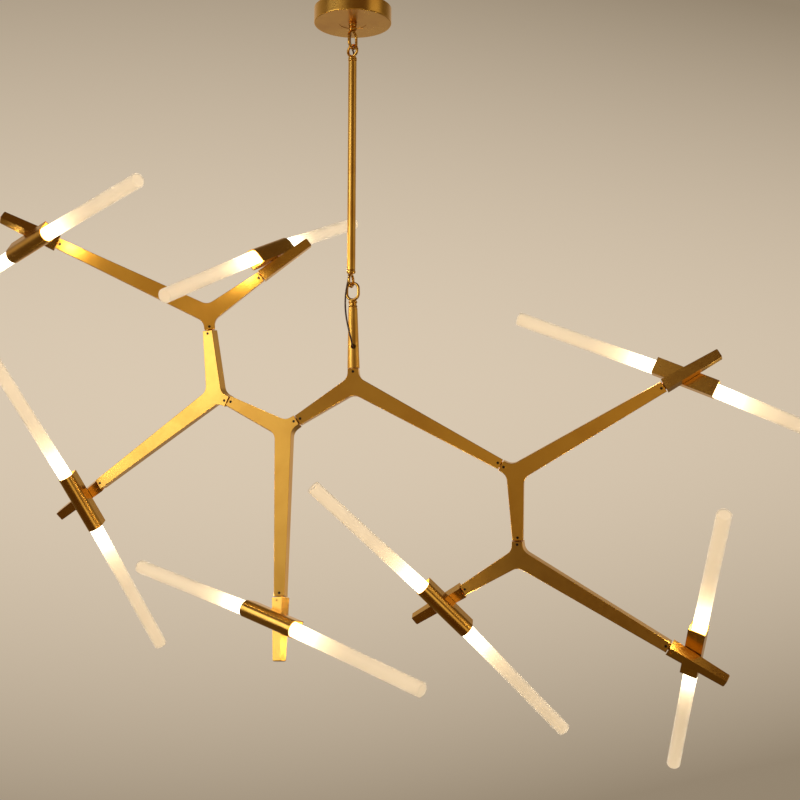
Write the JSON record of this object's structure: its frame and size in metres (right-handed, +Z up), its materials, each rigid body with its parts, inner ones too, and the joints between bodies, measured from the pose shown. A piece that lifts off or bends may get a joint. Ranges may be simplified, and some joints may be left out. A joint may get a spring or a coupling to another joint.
{
  "type": "sputnik chandelier",
  "caption": "Branching brass ceiling light: a rod hung between open loops carries flat three-armed plates joined end to end, with lamp bars whose sleeves hold long frosted glass tubes.",
  "frame": {"origin": "centre of the ceiling face, on the axis of the canopy", "axes": "+Z up, +X to the right and +Y away from someone who faces the plates"},
  "size_m": [1.4102, 0.5372, 1.1835],
  "materials": {
    "satin_brass": "brushed, clear lacquered",
    "frosted_glass": "frosted",
    "lamp_glass": "opal",
    "holder_ceramic": "matt",
    "cable_sheath": "matt",
    "terminal_plastic": "matt",
    "bracket_steel": "zinc plated"
  },
  "bodies": {
    "canopy": {"ceiling_bracket": "bracket_steel", "canopy_cover": "satin_brass", "canopy_nipple_and_nut": "satin_brass", "terminal_block": "terminal_plastic", "canopy_loop": "satin_brass", "upper_cable": "cable_sheath"},
    "rod": {"rod_tube": "satin_brass", "rod_top_loop": "satin_brass", "rod_bottom_loop": "satin_brass", "lower_cable": "cable_sheath"},
    "stub": {"stub_tube": "satin_brass", "stub_loop": "satin_brass", "stub_nipple": "satin_brass"},
    "plate_1": {"plate_1": "satin_brass", "plate_1_joiners": "satin_brass"},
    "plate_2": {"plate_2": "satin_brass", "plate_2_joiners": "satin_brass"},
    "plate_3": {"plate_3": "satin_brass", "plate_3_joiners": "satin_brass"},
    "plate_4": {"plate_4": "satin_brass", "plate_4_joiners": "satin_brass"},
    "plate_5": {"plate_5": "satin_brass", "plate_5_joiners": "satin_brass"},
    "plate_6": {"plate_6": "satin_brass", "plate_6_joiners": "satin_brass"},
    "bar_1": {"bar_1": "satin_brass"},
    "sleeve_1": {"sleeve_1": "satin_brass", "glass_tubes_1": "frosted_glass", "lampholders_1": "holder_ceramic", "bulbs_1": "lamp_glass"},
    "bar_2": {"bar_2": "satin_brass"},
    "sleeve_2": {"sleeve_2": "satin_brass", "glass_tubes_2": "frosted_glass", "lampholders_2": "holder_ceramic", "bulbs_2": "lamp_glass"},
    "bar_3": {"bar_3": "satin_brass"},
    "sleeve_3": {"sleeve_3": "satin_brass", "glass_tubes_3": "frosted_glass", "lampholders_3": "holder_ceramic", "bulbs_3": "lamp_glass"},
    "bar_4": {"bar_4": "satin_brass"},
    "sleeve_4": {"sleeve_4": "satin_brass", "glass_tubes_4": "frosted_glass", "lampholders_4": "holder_ceramic", "bulbs_4": "lamp_glass"},
    "bar_5": {"bar_5": "satin_brass"},
    "sleeve_5": {"sleeve_5": "satin_brass", "glass_tubes_5": "frosted_glass", "lampholders_5": "holder_ceramic", "bulbs_5": "lamp_glass"},
    "bar_6": {"bar_6": "satin_brass"},
    "sleeve_6": {"sleeve_6": "satin_brass", "glass_tubes_6": "frosted_glass", "lampholders_6": "holder_ceramic", "bulbs_6": "lamp_glass"},
    "bar_7": {"bar_7": "satin_brass"},
    "sleeve_7": {"sleeve_7": "satin_brass", "glass_tubes_7": "frosted_glass", "lampholders_7": "holder_ceramic", "bulbs_7": "lamp_glass"}
  },
  "joints": [
    {"name": "rod_swing", "type": "hinge", "parent": "canopy", "child": "rod", "pos_m": [0, 0, -0.061], "axis": [0.6018, 0.7986, 0], "range_deg": [-12, 12], "deforming": ["upper_cable"]},
    {"name": "stub_swing", "type": "hinge", "parent": "rod", "child": "stub", "pos_m": [0.00125, 0, -0.4352], "axis": [0.9397, -0.342, 0], "range_deg": [-10, 10], "deforming": ["lower_cable"]},
    {"name": "plate_1_twist", "type": "hinge", "parent": "stub", "child": "plate_1", "pos_m": [0.00458, -0.00199, -0.56347], "axis": [-0.0391, 0.0156, 0.9991], "range_deg": [-45, 45]},
    {"name": "plate_2_twist", "type": "hinge", "parent": "plate_1", "child": "plate_2", "pos_m": [-0.07887, 0.00733, -0.64256], "axis": [-0.8357, 0.0961, -0.5407], "range_deg": [-14, 25]},
    {"name": "plate_3_twist", "type": "hinge", "parent": "plate_2", "child": "plate_3", "pos_m": [-0.18561, 0.03846, -0.61187], "axis": [-0.8542, 0.2849, 0.435], "range_deg": [-18, 18]},
    {"name": "plate_4_twist", "type": "hinge", "parent": "plate_1", "child": "plate_4", "pos_m": [0.22487, -0.03044, -0.70883], "axis": [0.8703, -0.1114, -0.4797], "range_deg": [-14, 28]},
    {"name": "plate_5_twist", "type": "hinge", "parent": "plate_3", "child": "plate_5", "pos_m": [-0.21757, 0.03883, -0.50103], "axis": [-0.1091, -0.0654, 0.9919], "range_deg": [-14, 20]},
    {"name": "plate_6_twist", "type": "hinge", "parent": "plate_4", "child": "plate_6", "pos_m": [0.25127, -0.02107, -0.82072], "axis": [0.0503, 0.1198, -0.9915], "range_deg": [-15, 28]},
    {"name": "bar_1_twist", "type": "hinge", "parent": "plate_5", "child": "bar_1", "pos_m": [-0.44853, 0.01431, -0.37251], "axis": [-0.9059, -0.0909, 0.4136], "range_deg": [-45, 40]},
    {"name": "bar_2_twist", "type": "hinge", "parent": "plate_5", "child": "bar_2", "pos_m": [-0.13946, 0.0397, -0.41615], "axis": [0.7998, 0.0245, 0.5998], "range_deg": [-25, 35]},
    {"name": "bar_3_twist", "type": "hinge", "parent": "plate_3", "child": "bar_3", "pos_m": [-0.39832, 0.1349, -0.73803], "axis": [-0.761, 0.355, -0.5429], "range_deg": [-45, 40]},
    {"name": "bar_4_twist", "type": "hinge", "parent": "plate_2", "child": "bar_4", "pos_m": [-0.0998, -0.03702, -0.90344], "axis": [-0.0018, -0.1853, -0.9827], "range_deg": [-28, 45]},
    {"name": "bar_5_twist", "type": "hinge", "parent": "plate_6", "child": "bar_5", "pos_m": [0.17265, 0.01618, -0.89646], "axis": [-0.7906, 0.3398, -0.5094], "range_deg": [-30, 28]},
    {"name": "bar_6_twist", "type": "hinge", "parent": "plate_6", "child": "bar_6", "pos_m": [0.46339, -0.0725, -0.97179], "axis": [0.8369, -0.2157, -0.5031], "range_deg": [-45, 45]},
    {"name": "bar_7_twist", "type": "hinge", "parent": "plate_4", "child": "bar_7", "pos_m": [0.45686, -0.09175, -0.59532], "axis": [0.836, -0.2325, 0.4971], "range_deg": [-40, 45]},
    {"name": "sleeve_1_turn", "type": "hinge", "parent": "bar_1", "child": "sleeve_1", "pos_m": [-0.48591, -0.00222, -0.378], "axis": [-0.3006, -0.5497, -0.7794], "range_deg": [-13, 64]},
    {"name": "sleeve_2_turn", "type": "hinge", "parent": "bar_2", "child": "sleeve_2", "pos_m": [-0.12774, 0.04015, -0.37662], "axis": [-0.5996, -0.0148, 0.8001], "range_deg": [-6, 44]},
    {"name": "sleeve_3_turn", "type": "hinge", "parent": "bar_3", "child": "sleeve_3", "pos_m": [-0.4265, 0.12451, -0.7663], "axis": [-0.1215, -0.9001, -0.4183], "range_deg": [-27, 49]},
    {"name": "sleeve_4_turn", "type": "hinge", "parent": "bar_4", "child": "sleeve_4", "pos_m": [-0.11382, -0.06306, -0.93218], "axis": [-0.5673, -0.809, 0.1536], "range_deg": [-18, 29]},
    {"name": "sleeve_5_turn", "type": "hinge", "parent": "bar_5", "child": "sleeve_5", "pos_m": [0.14383, 0.00539, -0.92391], "axis": [-0.1078, -0.8961, -0.4305], "range_deg": [-28, 12]},
    {"name": "sleeve_6_turn", "type": "hinge", "parent": "bar_6", "child": "sleeve_6", "pos_m": [0.50389, -0.06488, -0.97348], "axis": [0.5202, 0.5997, 0.6082], "range_deg": [-26, 59]},
    {"name": "sleeve_7_turn", "type": "hinge", "parent": "bar_7", "child": "sleeve_7", "pos_m": [0.4933, -0.07685, -0.58304], "axis": [0.3564, 0.9188, -0.1698], "range_deg": [-8, 70]}
  ]
}
